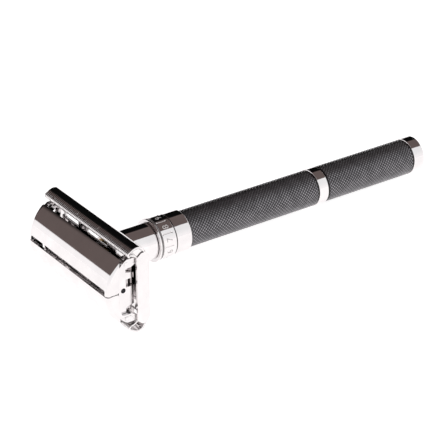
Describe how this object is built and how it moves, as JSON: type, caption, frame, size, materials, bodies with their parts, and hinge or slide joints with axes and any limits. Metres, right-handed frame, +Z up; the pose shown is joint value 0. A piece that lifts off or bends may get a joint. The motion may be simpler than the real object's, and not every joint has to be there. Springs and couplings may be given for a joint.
{
  "type": "adjustable twist-to-open double-edge safety razor",
  "caption": "Safety razor with a long knurled handle, a twisting knob that lifts and opens two head doors, and a numbered ring that sets the guard.",
  "frame": {"origin": "middle of the bounding box's base, on the table that the razor lies on", "axes": "+X along the handle from the head to the end cap, in plan; +Y along the cutting edges, to the head's left end; +Z up"},
  "size_m": [0.1268, 0.0436, 0.0268],
  "materials": {
    "door_chrome": "mirror-bright plate",
    "head_chrome": "bright plate over stamped sheet",
    "handle_chrome": "bright plate",
    "black_grip": "satin black lacquer over diamond knurl",
    "brass": "turned, unplated",
    "steel": "turned"
  },
  "bodies": {
    "handle": {"base_frame": "head_chrome", "base_nut": "brass", "collar": "handle_chrome", "front_bush": "brass", "front_grip": "black_grip", "handle_tube": "brass", "inner_tube": "brass", "middle_ring": "handle_chrome", "neck_sleeve": "handle_chrome", "rear_bush": "brass"},
    "dial": {"adjuster_dial": "handle_chrome"},
    "guard": {"guard_plate": "head_chrome", "adjuster_sleeve": "brass", "dial_follower_pin": "steel"},
    "knob": {"knob_grip": "black_grip", "knob_core": "brass", "end_cap": "handle_chrome", "drive_rod": "steel", "thrust_collar": "steel", "thrust_washer": "steel"},
    "lifter": {"lift_bar": "steel", "lift_stem": "steel", "left_bracket": "head_chrome", "right_bracket": "head_chrome", "left_bracket_rivet": "steel", "right_bracket_rivet": "steel", "upper_left_hinge_pin": "steel", "upper_right_hinge_pin": "steel", "lower_left_hinge_pin": "steel", "lower_right_hinge_pin": "steel"},
    "upper_door": {"upper_door": "door_chrome", "upper_left_ear": "door_chrome", "upper_right_ear": "door_chrome", "upper_left_cam_pin": "steel", "upper_right_cam_pin": "steel"},
    "lower_door": {"lower_door": "door_chrome", "lower_left_ear": "door_chrome", "lower_right_ear": "door_chrome", "lower_left_cam_pin": "steel", "lower_right_cam_pin": "steel"}
  },
  "joints": [
    {"name": "knob_turn", "type": "hinge", "parent": "handle", "child": "knob", "pos_m": [0.02568, 0, 0.00812], "axis": [0.9978, 0, -0.0657], "range_deg": [0, 540]},
    {"name": "lifter_slide", "type": "slide", "parent": "handle", "child": "lifter", "axis": [-0.9978, 0, 0.0657], "range_m": [0, 0.0034]},
    {"name": "upper_door_hinge", "type": "hinge", "parent": "lifter", "child": "upper_door", "pos_m": [-0.05652, 0, 0.02216], "axis": [0, 1, 0], "range_deg": [0, 70]},
    {"name": "lower_door_hinge", "type": "hinge", "parent": "lifter", "child": "lower_door", "pos_m": [-0.05765, 0, 0.005], "axis": [0, -1, 0], "range_deg": [0, 70]},
    {"name": "dial_turn", "type": "hinge", "parent": "handle", "child": "dial", "pos_m": [-0.03309, 0, 0.012], "axis": [0.9978, 0, -0.0657], "range_deg": [-120, 120]},
    {"name": "guard_slide", "type": "slide", "parent": "handle", "child": "guard", "axis": [0.9978, 0, -0.0657], "range_m": [-0.00035, 0.00035]}
  ],
  "couplings": [
    {"joint": "knob_turn", "follows": "lifter_slide", "rad_per_m": 2772},
    {"joint": "upper_door_hinge", "follows": "lifter_slide", "rad_per_m": 359.33},
    {"joint": "lower_door_hinge", "follows": "lifter_slide", "rad_per_m": 359.33},
    {"joint": "dial_turn", "follows": "guard_slide", "rad_per_m": 5984}
  ]
}
